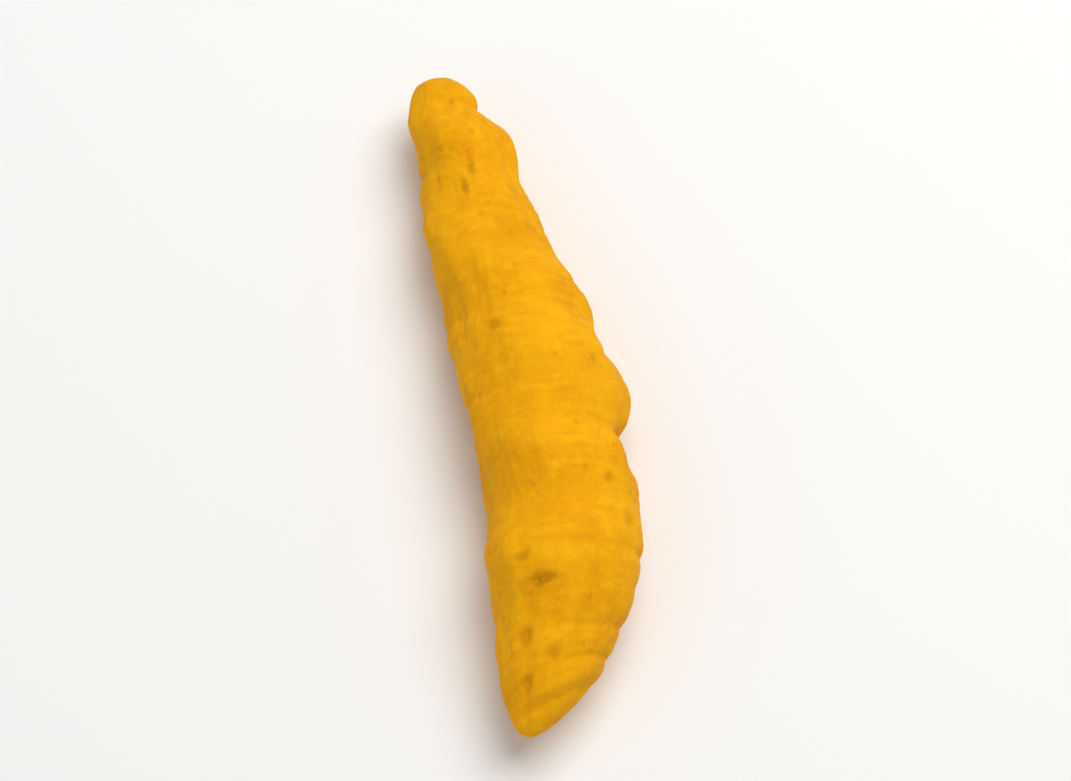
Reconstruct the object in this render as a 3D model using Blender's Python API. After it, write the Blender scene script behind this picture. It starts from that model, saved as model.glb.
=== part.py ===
"""Turmeric root: one dried and polished finger of the rhizome, lying on its side.

Metres, +Z up. The finger lies along Y. Its neck, where it broke off the mother root, is at +Y and
its growing tip at -Y. It bows to +X in the middle and rests on a small flat spot at z = 0, with
the origin at the bottom centre of its box.

Lengths below are in millimetres. A place on the skin is given by its distance along the finger
from the neck end and by its angle round the finger: 0 is the +X side, 90 degrees the top, 180 the
-X side and 270 the underside.
"""

import math
import random

import bpy
import numpy as np

MM = 0.001
LENGTH = 68.5
NECK_CAP = 5.0
NECK_CAP_POWER = 2.6
TIP_CAP = 9.0
TIP_CAP_POWER = 2.0
HEIGHT_OVER_WIDTH = 0.93

# The bare form under the relief: distance along, half width, middle of the width to +X of the line
# between the ends, and height of the underside. Heights below zero become the flat spot.
FORM = (
    (0.0, 2.8, -1.1, 2.9),
    (2.5, 3.35, -0.65, 2.4),
    (4.6, 3.65, -0.65, 2.0),
    (7.0, 4.6, 0.6, 1.5),
    (12.5, 4.8, 1.25, 0.8),
    (16.5, 5.55, 1.75, 0.3),
    (20.0, 6.0, 2.2, -0.12),
    (24.0, 6.45, 3.4, -0.16),
    (27.5, 6.5, 3.8, -0.2),
    (31.0, 7.1, 4.6, -0.24),
    (35.5, 7.05, 5.1, -0.18),
    (39.5, 6.85, 5.1, -0.15),
    (43.0, 7.15, 5.65, -0.21),
    (47.0, 6.85, 5.85, -0.22),
    (52.0, 7.4, 5.3, -0.18),
    (56.0, 6.8, 4.8, -0.1),
    (60.0, 5.6, 3.45, 0.6),
    (64.0, 4.85, 2.3, 1.5),
    (68.5, 3.6, 0.2, 2.6),
)

# Growth rings, each the scar of a leaf sheath: distance along, how far the ring leans towards the
# tip on the +X side, how bold it is, and the angle where it is boldest. Wear has almost wiped out
# the side facing that. The rings crowd together at both ends.
RINGS = (
    (3.4, 0.3, 0.8, 350.0),
    (6.4, -0.5, 0.6, 330.0),
    (11.0, 0.9, 0.8, 235.0),
    (16.0, 1.5, 0.6, 320.0),
    (20.2, 1.7, 0.7, 230.0),
    (26.2, -0.6, 0.9, 235.0),
    (30.6, 0.6, 0.8, 290.0),
    (35.0, -0.7, 1.0, 240.0),
    (39.3, 0.6, 0.8, 335.0),
    (43.4, 0.3, 0.8, 270.0),
    (47.6, -0.9, 0.8, 230.0),
    (51.9, 0.5, 0.7, 315.0),
    (56.0, -0.9, 0.9, 240.0),
    (59.8, -1.4, 0.8, 310.0),
    (63.2, -1.9, 0.7, 350.0),
    (65.9, -1.6, 1.0, 50.0),
)
RING_WAVE = 0.45
RING_LIP = 0.15
RING_GROOVE = 0.25
RING_LEAST = 0.08
INTERNODE_SWELL = 0.09

# Broad bulges, and dents below zero, that the bare form lacks: distance along, angle, radius, height.
BULGES = (
    (12.6, 134.0, 3.6, 0.35),
    (26.3, 2.0, 3.0, 0.85),
    (36.0, 356.0, 5.4, 1.5),
    (41.2, 358.0, 3.3, -1.0),
    (46.6, 130.0, 4.8, 0.42),
)

# Dormant buds, left and right by turns: distance along, angle, radius, height.
BUDS = (
    (12.2, 196.0, 2.4, 0.32),
    (20.6, 8.0, 3.8, 0.15),
    (27.8, 178.0, 3.2, 0.4),
    (31.0, 30.0, 2.6, 0.25),
    (38.9, 205.0, 3.0, 0.42),
    (45.6, 352.0, 4.0, 0.4),
    (49.8, 186.0, 3.0, 0.34),
    (58.2, 334.0, 2.8, 0.32),
)

# Scars where roots and scales were rubbed off, seen from above: distance along, angle, and the
# radius along and round the finger.
TOP_SCARS = (
    (11.6, 91.0, 1.2, 0.45),
    (13.8, 104.0, 1.1, 0.45),
    (29.4, 116.0, 0.6, 0.9),
    (33.6, 40.0, 0.7, 0.6),
    (45.9, 50.0, 0.6, 0.8),
    (49.8, 30.0, 0.95, 0.95),
    (53.2, 123.0, 0.5, 0.8),
    (55.6, 107.0, 0.75, 1.5),
    (60.2, 123.0, 0.9, 0.9),
    (62.2, 89.0, 0.85, 0.9),
    (64.4, 120.0, 0.7, 0.8),
)
UNDER_SCAR_COUNT = 15
UNDER_SCAR_CLEARANCE = 4.2
SCAR_DEPTH = 0.38
SCAR_RIM = 0.1

# The break scar is the dished middle of the neck end, as a share of the width there.
BREAK_SCAR_SHARE = 0.66
BREAK_SCAR_DEPTH = 0.5
WRINKLE_HEIGHT = 0.08
LUMP_HEIGHT = 0.08
SEED = 68

POINTS_AROUND = 60
ROW_SPACING = 1.0
ROWS_AT_RING = (-1.15, -0.5, 0.3, 0.95)
CAP_ROWS = 7
CLOSEST_ROWS = 0.32

SKIN_COLOUR = (0.89, 0.40, 0.013, 1.0)
SKIN_ROUGHNESS = 0.85


def smooth_curve(places, values, at):
    """Cubic curve through the values, read at any place along the finger."""
    slopes = np.gradient(values, places)
    i = np.clip(np.searchsorted(places, at) - 1, 0, len(places) - 2)
    span = places[i + 1] - places[i]
    t = (at - places[i]) / span
    return (
        (1 + 2 * t) * (1 - t) ** 2 * values[i]
        + t * (1 - t) ** 2 * span * slopes[i]
        + t ** 2 * (3 - 2 * t) * values[i + 1]
        + t ** 2 * (t - 1) * span * slopes[i + 1]
    )


def bell(x):
    """Bell curve, 1 in the middle and near 0 beyond 3."""
    return np.exp(-0.5 * x ** 2)


def end_rounding(along):
    """Share of the half width left by the rounded ends: 0 at each end, 1 between the two caps."""
    neck = np.clip(1 - along / NECK_CAP, 0, 1)
    tip = np.clip(1 - (LENGTH - along) / TIP_CAP, 0, 1)
    at_neck = (1 - neck ** NECK_CAP_POWER) ** (1 / NECK_CAP_POWER)
    at_tip = (1 - tip ** TIP_CAP_POWER) ** (1 / TIP_CAP_POWER)
    return at_neck * at_tip


def row_places():
    """Distances along of the mesh rows: close together at the rings and on the rounded ends."""
    cap_steps = 1 - np.cos(np.linspace(0, math.pi / 2, CAP_ROWS + 1)[1:])
    at_rings = [place + step for place, lean, boldness, bold_side in RINGS for step in ROWS_AT_RING]
    wanted = sorted((*NECK_CAP * cap_steps, *LENGTH - TIP_CAP * cap_steps, *at_rings))
    rows = wanted[:1]
    for place in wanted[1:]:
        gap = place - rows[-1]
        if gap > CLOSEST_ROWS:
            steps = math.ceil(gap / ROW_SPACING)
            rows += [rows[-1] + gap * (k + 1) / steps for k in range(steps)]
    return np.array(rows)


def ring_shift(nominal, angle, draw):
    """How far towards the tip each ring runs at each angle: its lean and a little waviness."""
    places, leans, boldnesses, bold_sides = zip(*RINGS)
    waves = [[draw.uniform(-1, 1) * RING_WAVE for place in places] for part in range(2)]
    shift = np.zeros_like(angle)
    for sizes, turned in zip((leans, *waves), (np.cos(angle), np.cos(2 * angle), np.sin(2 * angle))):
        shift = shift + np.interp(nominal, (0.0, *places, LENGTH), (0.0, *sizes, 0.0)) * turned
    return shift


def ring_relief(nominal, angle, draw):
    """Low lip and groove at each ring, and the swelling of the internodes between the rings."""
    places, leans, boldnesses, bold_sides = zip(*RINGS)
    internode = np.interp(nominal, (0.0, *places, LENGTH), range(len(places) + 2))
    swells = np.array([draw.uniform(0.5, 1.4) * INTERNODE_SWELL for ring in range(len(places) + 1)])
    relief = swells[internode.astype(int)] * np.sin(math.pi * internode) ** 2 - 0.45 * INTERNODE_SWELL
    for place, boldness, bold_side in zip(places, boldnesses, bold_sides):
        towards = 0.5 + 0.5 * np.cos(angle - math.radians(bold_side))
        strength = boldness * (RING_LEAST + (1 - RING_LEAST) * towards ** 2)
        past = nominal - place
        lip = RING_LIP * bell((past + 0.65) / 0.5)
        groove = RING_GROOVE * bell((past - 0.25) / 0.42)
        relief = relief + strength * (lip - groove)
    return relief


def wave_relief(along, angle, draw):
    """Drying wrinkles that run along the finger, and the wider lumps under them."""
    relief = np.zeros_like(angle)
    for cycles in (6, 7, 9, 11, 13):
        start = draw.uniform(0, 2 * math.pi)
        fade_start = draw.uniform(0, 2 * math.pi)
        twist = draw.uniform(-0.06, 0.06)
        fade = 0.5 + 0.5 * np.sin(2 * math.pi * along / (20 + cycles) + fade_start)
        relief = relief + WRINKLE_HEIGHT * fade * np.sin(cycles * angle + twist * along + start)
    for cycles in (2, 3, 4):
        for wavelength in (11.0, 17.0):
            start = draw.uniform(0, 2 * math.pi)
            relief = relief + LUMP_HEIGHT * np.sin(cycles * angle + 2 * math.pi * along / wavelength + start)
    return relief


def under_scars(draw):
    """Root scars on the underside and the low sides, kept apart from each other."""
    scars = []
    while len(scars) < UNDER_SCAR_COUNT:
        along = draw.uniform(9.0, 60.0)
        angle = draw.uniform(195.0, 345.0)
        clear = all(
            math.hypot(along - other[0], math.radians(angle - other[1]) * 6.5) > UNDER_SCAR_CLEARANCE
            for other in scars
        )
        if clear:
            radius = draw.uniform(0.85, 1.25)
            scars.append((along, angle, radius, radius))
    return scars


def spread_from(along, angle, half_width, place, degrees, radius_along, radius_round):
    """Distance over the skin from one point of it, in radii: 1 on the edge of an oval round it."""
    turn = (angle - math.radians(degrees) + math.pi) % (2 * math.pi) - math.pi
    return np.hypot((along - place) / radius_along, turn * half_width / radius_round)


def mound_relief(along, angle, half_width):
    """Low round mounds: the bulges, and the buds with a shallow dimple at their crown."""
    relief = np.zeros_like(angle)
    for mounds, dimple in ((BULGES, 0.0), (BUDS, 0.3)):
        for place, degrees, radius, height in mounds:
            spread = spread_from(along, angle, half_width, place, degrees, radius, radius)
            mound = np.clip(1 - spread ** 2, 0, None) ** 2
            relief = relief + height * (mound - dimple * bell(spread / 0.2))
    return relief


def scar_relief(along, angle, half_width, scars):
    """Each root scar is a small pit in a slightly raised rim."""
    relief = np.zeros_like(angle)
    for place, degrees, radius_along, radius_round in scars:
        spread = spread_from(along, angle, half_width, place, degrees, radius_along, radius_round)
        depth = SCAR_DEPTH * min(radius_along, radius_round)
        relief = relief + SCAR_RIM * bell((spread - 1.25) / 0.4) - depth * bell(spread / 0.62)
    return relief


def skin_points(rows):
    """Points of the skin in millimetres, one line of them round the finger for each row."""
    draw = random.Random(SEED)
    angle, nominal = np.meshgrid(np.arange(POINTS_AROUND) * 2 * math.pi / POINTS_AROUND, rows)
    along = nominal + ring_shift(nominal, angle, draw)

    places, half_widths, middles, undersides = (np.array(column) for column in zip(*FORM))
    half_width = smooth_curve(places, half_widths, along)
    rounding = end_rounding(along)
    relief = ring_relief(nominal, angle, draw)
    relief = relief + wave_relief(along, angle, draw) * half_width / half_widths.max()
    relief = relief + mound_relief(along, angle, half_width)
    relief = relief + scar_relief(along, angle, half_width, list(TOP_SCARS) + under_scars(draw))

    across = (half_width + relief) * rounding
    upright = (half_width * HEIGHT_OVER_WIDTH + relief) * rounding
    axis_height = smooth_curve(places, undersides, along) + half_width * HEIGHT_OVER_WIDTH
    x = smooth_curve(places, middles, along) + across * np.cos(angle)
    y = LENGTH / 2 - along
    z = np.maximum(axis_height + upright * np.sin(angle), 0.0)

    in_scar = np.clip(1 - (rounding / BREAK_SCAR_SHARE) ** 2, 0, 1) * (along < NECK_CAP)
    return np.stack((x, y - BREAK_SCAR_DEPTH * in_scar, z), axis=-1)


def end_point(row_nearest, outward):
    """The pole that closes one end: the middle of its nearest row, a little further out."""
    middle = row_nearest.mean(axis=0)
    return middle + np.array((0.0, outward, 0.0))


def skin_faces(row_count):
    """Quads between neighbouring rows and a fan of triangles at each end, all facing outwards."""
    faces = []
    for r in range(row_count - 1):
        for k in range(POINTS_AROUND):
            here = r * POINTS_AROUND + k
            beside = r * POINTS_AROUND + (k + 1) % POINTS_AROUND
            faces.append((here, beside, beside + POINTS_AROUND, here + POINTS_AROUND))
    neck_pole = row_count * POINTS_AROUND
    tip_pole = neck_pole + 1
    last = (row_count - 1) * POINTS_AROUND
    for k in range(POINTS_AROUND):
        following = (k + 1) % POINTS_AROUND
        faces.append((neck_pole, following, k))
        faces.append((tip_pole, last + k, last + following))
    return faces


def turmeric_skin():
    """Golden yellow, dull and dry."""
    material = bpy.data.materials.new("turmeric_skin")
    material.use_nodes = True
    shader = material.node_tree.nodes["Principled BSDF"]
    shader.inputs["Base Color"].default_value = SKIN_COLOUR
    shader.inputs["Roughness"].default_value = SKIN_ROUGHNESS
    shader.inputs["Metallic"].default_value = 0.0
    material.diffuse_color = SKIN_COLOUR
    return material


def turmeric_finger():
    """The whole finger as one closed body, centred over the origin."""
    rows = skin_points(row_places())
    poles = [end_point(rows[0], 0.05), end_point(rows[-1], -0.1)]
    points = np.vstack((rows.reshape(-1, 3), poles))
    box_middle = (points.min(axis=0) + points.max(axis=0)) / 2
    points[:, :2] -= box_middle[:2]

    mesh = bpy.data.meshes.new("turmeric_finger")
    mesh.from_pydata((points * MM).tolist(), [], skin_faces(len(rows)))
    mesh.shade_smooth()
    mesh.materials.append(turmeric_skin())
    finger = bpy.data.objects.new("turmeric_finger", mesh)
    bpy.context.scene.collection.objects.link(finger)
    return finger


for old in list(bpy.data.objects):
    bpy.data.objects.remove(old)
turmeric_finger()
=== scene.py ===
# Dried turmeric finger: fine skin, powdery finish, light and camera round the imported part.
import itertools
import math
import random

import bpy
import numpy as np
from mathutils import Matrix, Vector


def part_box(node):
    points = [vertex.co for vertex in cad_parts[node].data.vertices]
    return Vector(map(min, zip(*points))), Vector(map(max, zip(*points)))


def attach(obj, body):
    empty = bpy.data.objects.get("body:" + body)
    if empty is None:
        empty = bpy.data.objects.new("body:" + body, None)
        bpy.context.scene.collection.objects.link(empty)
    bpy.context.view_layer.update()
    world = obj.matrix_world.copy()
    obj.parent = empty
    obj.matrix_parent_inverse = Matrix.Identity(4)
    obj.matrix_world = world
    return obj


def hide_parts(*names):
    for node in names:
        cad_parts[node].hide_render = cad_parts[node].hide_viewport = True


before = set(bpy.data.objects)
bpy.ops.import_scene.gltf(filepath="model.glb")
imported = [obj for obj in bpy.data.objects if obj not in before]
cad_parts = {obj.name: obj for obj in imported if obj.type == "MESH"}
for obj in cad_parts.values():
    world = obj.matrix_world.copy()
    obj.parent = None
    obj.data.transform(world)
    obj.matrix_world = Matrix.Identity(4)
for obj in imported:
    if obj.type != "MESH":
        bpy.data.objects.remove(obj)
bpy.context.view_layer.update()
print("frame loaded:", sorted(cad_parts))

mm = 0.001

# The finger's form, in millimetres and with the same values as its solid. A place on the skin is its
# distance from the neck end and its angle: 0 the +X side, 90 the top, 180 the -X side, 270 below.
finger = {
    "length": 68.5,
    "neckCap": 5.0,
    "neckCapPower": 2.6,
    "tipCap": 9.0,
    "tipCapPower": 2.0,
    "heightOverWidth": 0.93,
    # distance along, half width, middle to +X, height of the underside
    "form": (
        (0.0, 2.8, -1.1, 2.9),
        (2.5, 3.35, -0.65, 2.4),
        (4.6, 3.65, -0.65, 2.0),
        (7.0, 4.6, 0.6, 1.5),
        (12.5, 4.8, 1.25, 0.8),
        (16.5, 5.55, 1.75, 0.3),
        (20.0, 6.0, 2.2, -0.12),
        (24.0, 6.45, 3.4, -0.16),
        (27.5, 6.5, 3.8, -0.2),
        (31.0, 7.1, 4.6, -0.24),
        (35.5, 7.05, 5.1, -0.18),
        (39.5, 6.85, 5.1, -0.15),
        (43.0, 7.15, 5.65, -0.21),
        (47.0, 6.85, 5.85, -0.22),
        (52.0, 7.4, 5.3, -0.18),
        (56.0, 6.8, 4.8, -0.1),
        (60.0, 5.6, 3.45, 0.6),
        (64.0, 4.85, 2.3, 1.5),
        (68.5, 3.6, 0.2, 2.6),
    ),
    # distance along, lean towards the tip on the +X side, boldness, angle where it is boldest
    "rings": (
        (3.4, 0.3, 0.8, 350.0),
        (6.4, -0.5, 0.6, 330.0),
        (11.0, 0.9, 0.8, 235.0),
        (16.0, 1.5, 0.6, 320.0),
        (20.2, 1.7, 0.7, 230.0),
        (26.2, -0.6, 0.9, 235.0),
        (30.6, 0.6, 0.8, 290.0),
        (35.0, -0.7, 1.0, 240.0),
        (39.3, 0.6, 0.8, 335.0),
        (43.4, 0.3, 0.8, 270.0),
        (47.6, -0.9, 0.8, 230.0),
        (51.9, 0.5, 0.7, 315.0),
        (56.0, -0.9, 0.9, 240.0),
        (59.8, -1.4, 0.8, 310.0),
        (63.2, -1.9, 0.7, 350.0),
        (65.9, -1.6, 1.0, 50.0),
    ),
    "ringWave": 0.45,
    "ringLip": (0.15, -0.65, 0.5),  # height, place past the ring, half breadth
    "ringGroove": (0.25, 0.25, 0.42),  # depth, place, half breadth
    "ringLeast": 0.08,
    "internodeSwell": 0.09,
    # distance along, angle, radius, height
    "bulges": (
        (12.6, 134.0, 3.6, 0.35),
        (26.3, 2.0, 3.0, 0.85),
        (36.0, 356.0, 5.4, 1.5),
        (41.2, 358.0, 3.3, -1.0),
        (46.6, 130.0, 4.8, 0.42),
    ),
    "buds": (
        (12.2, 196.0, 2.4, 0.32),
        (20.6, 8.0, 3.8, 0.15),
        (27.8, 178.0, 3.2, 0.4),
        (31.0, 30.0, 2.6, 0.25),
        (38.9, 205.0, 3.0, 0.42),
        (45.6, 352.0, 4.0, 0.4),
        (49.8, 186.0, 3.0, 0.34),
        (58.2, 334.0, 2.8, 0.32),
    ),
    # distance along, angle, radius along and round the finger
    "topScars": (
        (11.6, 91.0, 1.2, 0.45),
        (13.8, 104.0, 1.1, 0.45),
        (29.4, 116.0, 0.6, 0.9),
        (33.6, 40.0, 0.7, 0.6),
        (45.9, 50.0, 0.6, 0.8),
        (49.8, 30.0, 0.95, 0.95),
        (53.2, 123.0, 0.5, 0.8),
        (55.6, 107.0, 0.75, 1.5),
        (60.2, 123.0, 0.9, 0.9),
        (62.2, 89.0, 0.85, 0.9),
        (64.4, 120.0, 0.7, 0.8),
    ),
    "underScarCount": 15,
    "underScarAlong": (9.0, 60.0),
    "underScarAngle": (195.0, 345.0),
    "underScarRadius": (0.85, 1.25),
    "underScarClearance": 4.2,
    "underRadius": 6.5,  # the finger's, for the distance round it from scar to scar
    "scarDepth": 0.38,
    "scarRim": 0.1,
    "breakScarShare": 0.66,
    "breakScarDepth": 0.5,
    "wrinkleCycles": (6, 7, 9, 11, 13),  # round the finger
    "wrinkleHeight": 0.08,
    "lumpCycles": (2, 3, 4),
    "lumpLengths": (11.0, 17.0),
    "lumpHeight": 0.08,
    "seed": 68,
    "rows": 398,
    "pointsAround": 248,
}

# What is too fine for the solid, in millimetres.
fineSkin = {
    "grain": ((1.4, 0.03, 31), (0.6, 0.016, 32)),  # width of the lumps, height, seed
    # creases from drying, in patches along the finger
    "creaseApart": 0.85,
    "creaseLong": 6.0,
    "creaseDeep": 0.045,
    "creasePatch": 8.0,
    # faint lines that the leaf sheaths left round the finger, also in patches
    "veinApart": 1.15,
    "veinDeep": 0.03,
    "veinPatch": (3.2, 2.4, 3.2),
    "veinWander": 0.3,  # share of the spacing
    "veinWanderLength": 5.0,
    "raggedWidth": 0.9,
    "ringRagged": 0.22,
    "ringCrack": (0.06, 0.2, 0.14),  # depth, place past the ring, half breadth
    "ringFray": (0.04, -0.3, 0.5),
    "ringLineBreadth": 0.24,
    "scarRagged": 0.12,  # share of the scar's radius
    "scarStub": 0.45,  # share of the scar's depth
    "poreCount": 130,
    "poreRadius": (0.16, 0.36),
    "poreStretch": (0.8, 1.8),
    "poreDepth": 0.3,  # share of its radius
    # torn fibres in the break scar
    "fibreWidth": 0.45,
    "fibreHeight": 0.1,
    "poreSeed": 11,
    "raggedSeed": 21,
    "creaseSeed": 41,
    "creasePatchSeed": 42,
    "fibreSeed": 43,
    "veinWanderSeed": 44,
    "veinPatchSeed": 45,
}


def bell(x):
    return np.exp(-0.5 * x ** 2)


def smoothStep(low, high, x):
    t = np.clip((x - low) / (high - low), 0, 1)
    return t * t * (3 - 2 * t)


def smoothCurve(places, values, at):
    # cubic curve through the values
    slopes = np.gradient(values, places)
    i = np.clip(np.searchsorted(places, at) - 1, 0, len(places) - 2)
    span = places[i + 1] - places[i]
    t = (at - places[i]) / span
    return (
        (1 + 2 * t) * (1 - t) ** 2 * values[i]
        + t * (1 - t) ** 2 * span * slopes[i]
        + t ** 2 * (3 - 2 * t) * values[i + 1]
        + t ** 2 * (t - 1) * span * slopes[i + 1]
    )


def softNoise(points, cell, seed):
    # random lumps about one cell wide, from -1 to 1; cell is one width or one for each axis
    size = 40
    lattice = np.random.default_rng(seed).uniform(-1, 1, (size, size, size))
    q = points / np.asarray(cell)
    low = np.floor(q).astype(int)
    t = q - low
    t = t * t * (3 - 2 * t)
    total = 0
    for corner in itertools.product((0, 1), repeat=3):
        weight = np.prod(np.where(corner, t, 1 - t), axis=-1)
        x, y, z = np.moveaxis((low + corner) % size, -1, 0)
        total = total + weight * lattice[x, y, z]
    return total


def endRounding(along):
    # share of the half width that the rounded ends leave
    neck = np.clip(1 - along / finger["neckCap"], 0, 1)
    tip = np.clip(1 - (finger["length"] - along) / finger["tipCap"], 0, 1)
    atNeck = (1 - neck ** finger["neckCapPower"]) ** (1 / finger["neckCapPower"])
    atTip = (1 - tip ** finger["tipCapPower"]) ** (1 / finger["tipCapPower"])
    return atNeck * atTip


def evenRows():
    # distances along of the rows, evenly spaced over the skin and so close together at the ends
    places, halfWidths = (np.array(column) for column in list(zip(*finger["form"]))[:2])
    along = np.linspace(0, finger["length"], 6000)
    outline = smoothCurve(places, halfWidths, along) * endRounding(along)
    travel = np.concatenate(([0], np.cumsum(np.hypot(np.diff(along), np.diff(outline)))))
    return np.interp(np.linspace(0, travel[-1], finger["rows"] + 2)[1:-1], travel, along)


def ringShift(nominal, angle, draw):
    # how far towards the tip each ring runs at each angle
    places, leans, boldnesses, boldSides = zip(*finger["rings"])
    waves = [[draw.uniform(-1, 1) * finger["ringWave"] for place in places] for part in range(2)]
    shift = np.zeros_like(angle)
    for sizes, turned in zip((leans, *waves), (np.cos(angle), np.cos(2 * angle), np.sin(2 * angle))):
        shift = shift + np.interp(nominal, (0.0, *places, finger["length"]), (0.0, *sizes, 0.0)) * turned
    return shift


def ringRelief(nominal, angle, ragged, draw):
    # lips, grooves and swollen internodes, then the crack and frayed edge that only this skin has
    places, leans, boldnesses, boldSides = zip(*finger["rings"])
    swell = finger["internodeSwell"]
    internode = np.interp(nominal, (0.0, *places, finger["length"]), range(len(places) + 2))
    swells = np.array([draw.uniform(0.5, 1.4) * swell for ring in range(len(places) + 1)])
    relief = swells[internode.astype(int)] * np.sin(math.pi * internode) ** 2 - 0.45 * swell
    line = np.zeros_like(angle)
    lipHeight, lipPlace, lipBreadth = finger["ringLip"]
    grooveDepth, groovePlace, grooveBreadth = finger["ringGroove"]
    crackDepth, crackPlace, crackBreadth = fineSkin["ringCrack"]
    frayHeight, frayPlace, frayBreadth = fineSkin["ringFray"]
    for place, boldness, boldSide in zip(places, boldnesses, boldSides):
        towards = 0.5 + 0.5 * np.cos(angle - math.radians(boldSide))
        strength = boldness * (finger["ringLeast"] + (1 - finger["ringLeast"]) * towards ** 2)
        past = nominal - place
        lip = lipHeight * bell((past - lipPlace) / lipBreadth)
        groove = grooveDepth * bell((past - groovePlace) / grooveBreadth)
        frayed = past + fineSkin["ringRagged"] * ragged
        crack = crackDepth * bell((frayed - crackPlace) / crackBreadth)
        fray = frayHeight * ragged * bell((past - frayPlace) / frayBreadth)
        relief = relief + strength * (lip - groove - crack + fray)
        line = line + strength * bell((frayed - crackPlace) / fineSkin["ringLineBreadth"])
    return relief, line


def waveRelief(along, angle, draw):
    # drying wrinkles that run along the finger, and the wider lumps under them
    relief = np.zeros_like(angle)
    for cycles in finger["wrinkleCycles"]:
        start = draw.uniform(0, 2 * math.pi)
        fadeStart = draw.uniform(0, 2 * math.pi)
        twist = draw.uniform(-0.06, 0.06)
        fade = 0.5 + 0.5 * np.sin(2 * math.pi * along / (20 + cycles) + fadeStart)
        relief = relief + finger["wrinkleHeight"] * fade * np.sin(cycles * angle + twist * along + start)
    for cycles in finger["lumpCycles"]:
        for wavelength in finger["lumpLengths"]:
            start = draw.uniform(0, 2 * math.pi)
            wave = np.sin(cycles * angle + 2 * math.pi * along / wavelength + start)
            relief = relief + finger["lumpHeight"] * wave
    return relief


def underScars(draw):
    # root scars on the underside and the low sides, kept apart
    scars = []
    while len(scars) < finger["underScarCount"]:
        along = draw.uniform(*finger["underScarAlong"])
        angle = draw.uniform(*finger["underScarAngle"])
        gaps = [
            math.hypot(along - other[0], math.radians(angle - other[1]) * finger["underRadius"])
            for other in scars
        ]
        if min(gaps, default=math.inf) > finger["underScarClearance"]:
            radius = draw.uniform(*finger["underScarRadius"])
            scars.append((along, angle, radius, radius))
    return scars


def spreadFrom(along, angle, halfWidth, place, degrees, radiusAlong, radiusRound):
    # distance over the skin from one point of it, in radii
    turn = (angle - math.radians(degrees) + math.pi) % (2 * math.pi) - math.pi
    return np.hypot((along - place) / radiusAlong, turn * halfWidth / radiusRound)


def moundRelief(along, angle, halfWidth):
    # broad bulges and dents, and buds with a dimple at their crown
    relief = np.zeros_like(angle)
    for mounds, dimple in ((finger["bulges"], 0.0), (finger["buds"], 0.3)):
        for place, degrees, radius, height in mounds:
            spread = spreadFrom(along, angle, halfWidth, place, degrees, radius, radius)
            mound = np.clip(1 - spread ** 2, 0, None) ** 2
            relief = relief + height * (mound - dimple * bell(spread / 0.2))
    return relief


def scarRelief(along, angle, halfWidth, scars, ragged):
    # pits in a raised rim, with the stub of the root's core standing in the middle of each
    relief = np.zeros_like(angle)
    pit = np.zeros_like(angle)
    for place, degrees, radiusAlong, radiusRound in scars:
        spread = spreadFrom(along, angle, halfWidth, place, degrees, radiusAlong, radiusRound)
        spread = spread * (1 + fineSkin["scarRagged"] * ragged)
        depth = finger["scarDepth"] * min(radiusAlong, radiusRound)
        relief = relief + finger["scarRim"] * bell((spread - 1.25) / 0.4) - depth * bell(spread / 0.62)
        relief = relief + fineSkin["scarStub"] * depth * bell(spread / 0.24)
        darkness = min(1, 0.6 * max(radiusAlong, radiusRound))  # the small ones are paler
        pit = np.maximum(pit, darkness * bell(spread / 0.65))
    return relief, pit


def poreRelief(along, angle, halfWidth):
    # small pores of many sizes, scattered all over
    draw = random.Random(fineSkin["poreSeed"])
    relief = np.zeros_like(angle)
    speck = np.zeros_like(angle)
    for pore in range(fineSkin["poreCount"]):
        place = draw.uniform(4, finger["length"] - 3)
        degrees = draw.uniform(0, 360)
        radius = draw.uniform(*fineSkin["poreRadius"])
        stretch = draw.uniform(*fineSkin["poreStretch"])
        spread = spreadFrom(along, angle, halfWidth, place, degrees, radius * stretch, radius)
        relief = relief - fineSkin["poreDepth"] * radius * bell(spread / 0.6)
        speck = np.maximum(speck, bell(spread / 0.55) * draw.uniform(0.3, 1))
    return relief, speck


def outwards(points):
    # unit normals of a grid of points whose rows close round the finger
    alongStep = np.gradient(points, axis=0)
    roundStep = np.roll(points, -1, axis=1) - np.roll(points, 1, axis=1)
    normals = np.cross(alongStep, roundStep)
    return normals / np.linalg.norm(normals, axis=-1, keepdims=True)


def fineRelief(points, nominal, along, angle, halfWidth, ragged, inScar):
    # pores, grain, creases, sheath lines and torn fibres, and the masks of where they are
    f = fineSkin
    fine, speck = poreRelief(along, angle, halfWidth)
    for width, height, seed in f["grain"]:
        fine = fine + height * softNoise(points, width, seed)
    streak = softNoise(points, (f["creaseApart"], f["creaseLong"], f["creaseApart"]), f["creaseSeed"])
    creased = smoothStep(-0.1, 0.5, softNoise(points, f["creasePatch"], f["creasePatchSeed"]))
    crease = bell(streak / 0.2) * creased
    fine = fine - f["creaseDeep"] * crease
    wander = f["veinWander"] * softNoise(points, f["veinWanderLength"], f["veinWanderSeed"])
    offLine = np.sin(math.pi * (nominal / f["veinApart"] + wander))
    veined = smoothStep(0.0, 0.5, softNoise(points, f["veinPatch"], f["veinPatchSeed"]))
    vein = bell(offLine / 0.4) * veined
    fine = fine - f["veinDeep"] * vein
    torn = smoothStep(0.0, 0.45, inScar + 0.2 * ragged * (inScar > 0))
    fine = fine + torn * f["fibreHeight"] * softNoise(points, f["fibreWidth"], f["fibreSeed"])
    return fine, {"speck": speck, "crease": np.maximum(crease, vein), "torn": torn}


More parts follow.
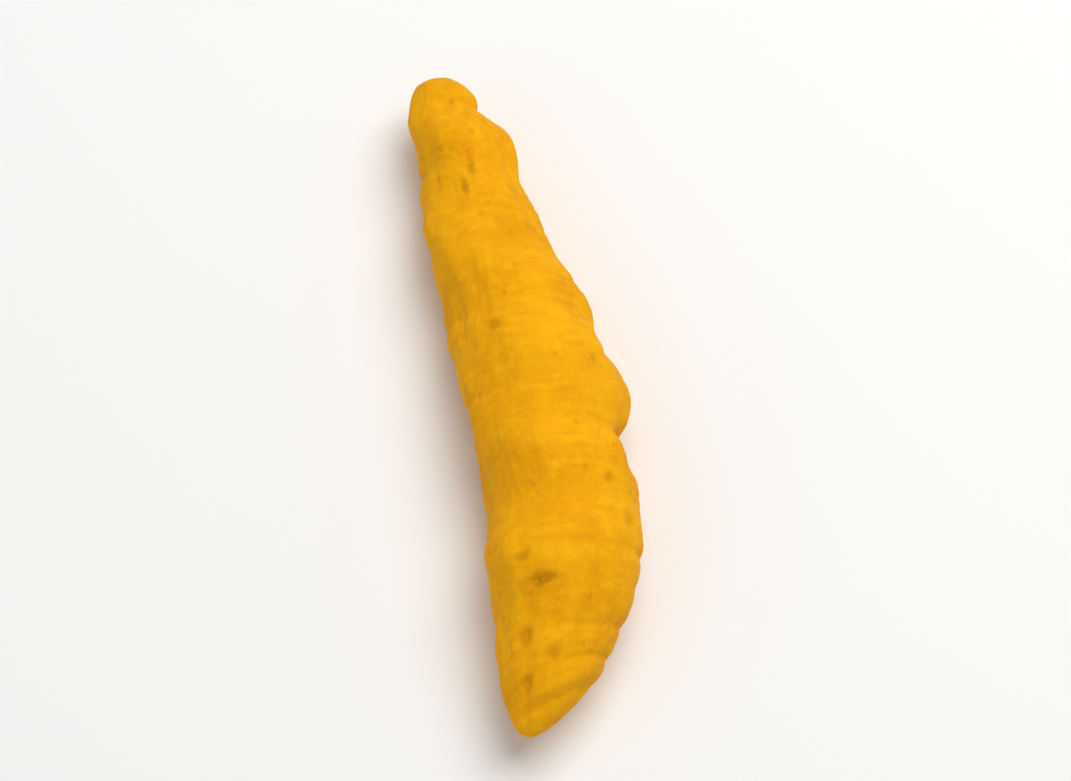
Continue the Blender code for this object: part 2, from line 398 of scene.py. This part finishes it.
def skinPoints():
    # the skin's points in millimetres, and the masks that the material reads
    draw = random.Random(finger["seed"])
    turns = np.arange(finger["pointsAround"]) * 2 * math.pi / finger["pointsAround"]
    angle, nominal = np.meshgrid(turns, evenRows())
    along = nominal + ringShift(nominal, angle, draw)
    places, halfWidths, middles, undersides = (np.array(column) for column in zip(*finger["form"]))
    halfWidth = smoothCurve(places, halfWidths, along)
    rounding = endRounding(along)
    bare = np.stack((halfWidth * np.cos(angle), along, halfWidth * np.sin(angle)), axis=-1)
    ragged = softNoise(bare, fineSkin["raggedWidth"], fineSkin["raggedSeed"])

    rings, ringLine = ringRelief(nominal, angle, ragged, draw)
    waves = waveRelief(along, angle, draw) * halfWidth / halfWidths.max()
    scars, pit = scarRelief(along, angle, halfWidth, list(finger["topScars"]) + underScars(draw), ragged)
    relief = rings + waves + moundRelief(along, angle, halfWidth) + scars

    across = (halfWidth + relief) * rounding
    upright = (halfWidth * finger["heightOverWidth"] + relief) * rounding
    axisHeight = smoothCurve(places, undersides, along) + halfWidth * finger["heightOverWidth"]
    x = smoothCurve(places, middles, along) + across * np.cos(angle)
    y = finger["length"] / 2 - along
    z = axisHeight + upright * np.sin(angle)
    inScar = np.clip(1 - (rounding / finger["breakScarShare"]) ** 2, 0, 1) * (along < finger["neckCap"])
    points = np.stack((x, y - finger["breakScarDepth"] * inScar, z), axis=-1)

    # fine relief goes along the normals, so that the two ends have it too
    fine, masks = fineRelief(points, nominal, along, angle, halfWidth, ragged, inScar)
    points = points + outwards(points) * fine[..., None]
    points[..., 2] = np.maximum(points[..., 2], 0.0)
    masks["ringLine"] = np.clip(ringLine, 0, 1)
    masks["pit"] = pit
    return points, masks


def skinMesh(points, masks):
    # one closed mesh: quads between the rows and a fan at each end, with a map laid out for baking
    rowCount, around = points.shape[:2]
    poles = np.array((points[0].mean(axis=0), points[-1].mean(axis=0) - (0, 0.02, 0)))
    flat = np.vstack((points.reshape(-1, 3), poles))
    middle = (flat.min(axis=0) + flat.max(axis=0)) / 2
    flat[:, :2] -= middle[:2]

    r, k = np.meshgrid(np.arange(rowCount - 1), np.arange(around), indexing="ij")
    here = r * around + k
    beside = r * around + (k + 1) % around
    quads = np.stack((here, beside, beside + around, here + around), axis=-1).reshape(-1, 4)
    k = np.arange(around)
    beside = (k + 1) % around
    last = (rowCount - 1) * around
    neckFan = np.stack((np.full(around, rowCount * around), beside, k), axis=-1)
    tipFan = np.stack((np.full(around, rowCount * around + 1), last + k, last + beside), axis=-1)
    mesh = bpy.data.meshes.new("turmericSkin")
    mesh.from_pydata((flat * mm).tolist(), [], quads.tolist() + neckFan.tolist() + tipFan.tolist())
    mesh.shade_smooth()

    for name, values in masks.items():
        layer = mesh.attributes.new(name, "FLOAT", "POINT")
        ends = (values[0].mean(), values[-1].mean())
        layer.data.foreach_set("value", np.append(values.ravel(), ends).astype(np.float32))

    # the skin slit along its +X side and laid flat: U round it, V along it
    width = 0.6  # of the map, so that it is about as fine round the finger as along it
    quadU = np.tile(np.stack((k, k + 1, k + 1, k), axis=-1) / around * width, (rowCount - 1, 1, 1))
    v = (np.arange(rowCount) + 1) / (rowCount + 1)
    quadV = np.broadcast_to(np.stack((v[:-1], v[:-1], v[1:], v[1:]), axis=-1)[:, None], quadU.shape)
    neckU = np.stack((k + 0.5, k + 1, k), axis=-1) / around * width
    tipU = np.stack((k + 0.5, k, k + 1), axis=-1) / around * width
    neckV = np.tile((0, v[0], v[0]), (around, 1))
    tipV = np.tile((1, v[-1], v[-1]), (around, 1))
    allU = np.concatenate([part.ravel() for part in (quadU, neckU, tipU)])
    allV = np.concatenate([part.ravel() for part in (quadV, neckV, tipV)])
    uvMap = mesh.uv_layers.new(name="OFBake")
    uvMap.data.foreach_set("uv", np.stack((allU, allV), axis=-1).ravel().astype(np.float32))
    return mesh


def linear(hexColour):
    # an sRGB hex colour as linear RGBA
    channels = [int(hexColour[i:i + 2], 16) / 255 for i in (0, 2, 4)]
    return tuple(c / 12.92 if c <= 0.04045 else ((c + 0.055) / 1.055) ** 2.4 for c in channels) + (1.0,)


def addNode(tree, kind, inputs, **settings):
    # one node, with its settings and a value or a link for each input that is named or numbered
    made = tree.nodes.new("ShaderNode" + kind)
    for name, value in settings.items():
        setattr(made, name, value)
    for key, value in inputs.items():
        if isinstance(value, bpy.types.NodeSocket):
            tree.links.new(value, made.inputs[key])
        else:
            made.inputs[key].default_value = value
    return made


# Horny dried rhizome skin, drum-polished and dusted with its own ground powder: dull golden yellow
# with no gloss, paler where powder sits, amber where it is rubbed, brown down in the scars.
powderedTurmeric = {
    "ground": "F2AB07",  # golden
    "amber": "E39506",
    "powder": "FABC14",
    "ringBrown": "BC7204",
    "scarBrown": "965A04",
    "rubbedOrange": "E67E08",
    "fleshOrange": "D8780A",
    "fleshBrown": "9A5010",
    # width in mm, detail and roughness of each pattern
    "patterns": {
        "patch": (7.0, 2, 0.5),  # drifts of colour along the finger
        "rub": (4.5, 2, 0.5),  # spacing of rubbed spots
        "mottle": (1.3, 3, 0.6),  # blotches of powder
        "dust": (0.42, 2, 0.5),  # clumps of powder; the real grains, 0.05 mm, are too fine to show
        "grit": (0.16, 1, 0.5),
    },
    "fleshFrom": (0.35, 0.65),  # dust where torn flesh turns from brown to orange
    # coats over the ground, in order: colour, share, mark it keeps to, and the patterns that it
    # follows, each with where the coat starts and where it is full
    "coats": (
        ("amber", 0.55, None, (("patch", 0.35, 0.7),)),
        ("powder", 0.55, None, (("mottle", 0.45, 0.75),)),
        ("amber", 0.4, None, (("mottle", 0.5, 0.22),)),
        ("powder", 0.35, None, (("dust", 0.5, 0.75),)),
        ("rubbedOrange", 0.5, None, (("rub", 0.62, 0.74), ("dust", 0.35, 0.6))),
        ("ringBrown", 0.17, "crease", ()),
        ("ringBrown", 0.45, "ringLine", (("mottle", 0.25, 0.75),)),
        ("ringBrown", 0.55, "speck", ()),
        ("scarBrown", 0.85, "pit", (("mottle", 0.2, 0.6),)),
        ("flesh", 1.0, "torn", (("mottle", 0.75, 0.4),)),
    ),
    "roughness": (0.74, 0.92),
    "roughnessFrom": (0.3, 0.7),  # mottle between which it goes from smoothest to roughest
    "grainBump": 0.03,  # mm
    "ior": 1.45,
    "specularLevel": 0.1,
    "sheen": 0.03,
    "sheenRoughness": 0.6,
    "sheenTint": "FFD27A",
}


def powderedTurmericMaterial():
    p = powderedTurmeric
    material = bpy.data.materials.new("driedTurmericDrumPolished")
    material.use_nodes = True
    tree = material.node_tree
    shader = tree.nodes["Principled BSDF"]
    place = addNode(tree, "TexCoord", {}).outputs["Object"]
    pattern = {}
    for name, (width, detail, roughness) in p["patterns"].items():
        look = {"Vector": place, "Scale": 1 / (width * mm), "Detail": detail, "Roughness": roughness}
        pattern[name] = addNode(tree, "TexNoise", look).outputs["Fac"]

    low, high = p["fleshFrom"]
    fibres = {"Value": pattern["dust"], "From Min": low, "From Max": high}
    orange = addNode(tree, "MapRange", fibres, interpolation_type="SMOOTHSTEP").outputs["Result"]
    twoBrowns = {0: orange, 6: linear(p["fleshBrown"]), 7: linear(p["fleshOrange"])}
    flesh = addNode(tree, "Mix", twoBrowns, data_type="RGBA").outputs[2]

    colour = linear(p["ground"])
    for coatName, share, mark, rises in p["coats"]:
        for name, low, high in rises:
            rise = {"Value": pattern[name], "From Min": low, "From Max": high, "To Max": share}
            share = addNode(tree, "MapRange", rise, interpolation_type="SMOOTHSTEP").outputs["Result"]
        if mark:
            marked = addNode(tree, "Attribute", {}, attribute_name=mark).outputs["Fac"]
            share = addNode(tree, "Math", {0: marked, 1: share}, operation="MULTIPLY").outputs[0]
        coat = flesh if coatName == "flesh" else linear(p[coatName])
        colour = addNode(tree, "Mix", {0: share, 6: colour, 7: coat}, data_type="RGBA").outputs[2]
    tree.links.new(colour, shader.inputs["Base Color"])

    (low, high), (smoothest, roughest) = p["roughnessFrom"], p["roughness"]
    dullness = {
        "Value": pattern["mottle"],
        "From Min": low,
        "From Max": high,
        "To Min": smoothest,
        "To Max": roughest,
    }
    tree.links.new(addNode(tree, "MapRange", dullness).outputs["Result"], shader.inputs["Roughness"])
    grains = {0: pattern["dust"], 1: pattern["grit"]}
    height = addNode(tree, "Math", grains, operation="ADD").outputs[0]
    bump = addNode(tree, "Bump", {"Height": height, "Distance": p["grainBump"] * mm, "Strength": 1.0})
    tree.links.new(bump.outputs["Normal"], shader.inputs["Normal"])
    shader.inputs["IOR"].default_value = p["ior"]
    shader.inputs["Specular IOR Level"].default_value = p["specularLevel"]
    shader.inputs["Sheen Weight"].default_value = p["sheen"]
    shader.inputs["Sheen Roughness"].default_value = p["sheenRoughness"]
    shader.inputs["Sheen Tint"].default_value = linear(p["sheenTint"])
    return material


points, masks = skinPoints()
skin = bpy.data.objects.new("turmericFinger", skinMesh(points, masks))
skin.data.materials.append(powderedTurmericMaterial())
bpy.context.scene.collection.objects.link(skin)
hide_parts("turmeric_finger")
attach(skin, "root")
print("skin:", len(skin.data.vertices), "points")

# Photo studio: a pale paper sweep, one large softbox overhead and a weaker one at the left.
studio = {
    "floorSize": 3.0,  # metres
    "floorDrop": 0.00003,  # metres, so that the paper and the flat spot aren't in one plane
    "floorColour": "F4F4F2",
    "floorRoughness": 0.9,
    "floorSpecular": 0.2,
    "skyStrength": 0.38,
    "keyPlace": (0.16, 0.14, 0.48),
    "keySize": 0.4,
    "keyPower": 2.2,
    "fillPlace": (-0.45, -0.25, 0.3),
    "fillSize": 0.5,
    "fillPower": 0.35,
}


def softbox(name, place, size, power):
    light = bpy.data.lights.new(name, "AREA")
    light.shape = "SQUARE"
    light.size = size
    light.energy = power
    lamp = bpy.data.objects.new(name, light)
    lamp.location = place
    lamp.rotation_euler = (-Vector(place)).to_track_quat("-Z", "Y").to_euler()
    bpy.context.scene.collection.objects.link(lamp)


def paperSweep():
    # matte uncoated paper: almost white, no gloss
    half, z = studio["floorSize"] / 2, -studio["floorDrop"]
    mesh = bpy.data.meshes.new("paperSweep")
    corners = ((-half, -half, z), (half, -half, z), (half, half, z), (-half, half, z))
    mesh.from_pydata(corners, [], [(0, 1, 2, 3)])
    sweep = bpy.data.objects.new("paperSweep", mesh)
    material = bpy.data.materials.new("mattePaperSweep")
    material.use_nodes = True
    shader = material.node_tree.nodes["Principled BSDF"]
    shader.inputs["Base Color"].default_value = linear(studio["floorColour"])
    shader.inputs["Roughness"].default_value = studio["floorRoughness"]
    shader.inputs["Specular IOR Level"].default_value = studio["floorSpecular"]
    mesh.materials.append(material)
    bpy.context.scene.collection.objects.link(sweep)


paperSweep()
softbox("keySoftbox", studio["keyPlace"], studio["keySize"], studio["keyPower"])
softbox("fillSoftbox", studio["fillPlace"], studio["fillSize"], studio["fillPower"])
world = bpy.data.worlds.new("whiteStudio")
world.use_nodes = True
sky = world.node_tree.nodes["Background"]
sky.inputs["Color"].default_value = (1, 1, 1, 1)
sky.inputs["Strength"].default_value = studio["skyStrength"]
bpy.context.scene.world = world
bpy.context.scene.view_settings.view_transform = "Standard"
print("studio lit")

# The camera looks down on the finger with the tip towards it, turned so that the neck leans left.
camera = {
    "turn": -6.9,  # degrees round the finger, 0 looks along +Y
    "elevation": 68.0,
    "lens": 150.0,  # mm
    "sensorWidth": 36.0,  # mm
    "viewHeight": 0.0746,  # metres that the picture's height takes in at the finger
    "imageWidth": 1071,
    "imageHeight": 781,
}


def placeCamera():
    c = camera
    lens = bpy.data.cameras.new("camera")
    lens.lens = c["lens"]
    lens.sensor_width = c["sensorWidth"]
    viewWidth = c["viewHeight"] * c["imageWidth"] / c["imageHeight"]
    distance = viewWidth * c["lens"] / c["sensorWidth"]
    turn, up = math.radians(c["turn"]), math.radians(c["elevation"])
    back = Vector((math.sin(turn) * math.cos(up), -math.cos(turn) * math.cos(up), math.sin(up)))
    low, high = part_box("turmeric_finger")
    holder = bpy.data.objects.new("camera", lens)
    holder.location = (low + high) / 2 + back * distance
    holder.rotation_euler = (-back).to_track_quat("-Z", "Y").to_euler()
    lens.clip_start = distance / 100
    lens.clip_end = distance * 100
    bpy.context.scene.collection.objects.link(holder)
    bpy.context.scene.camera = holder


placeCamera()
print("camera placed")
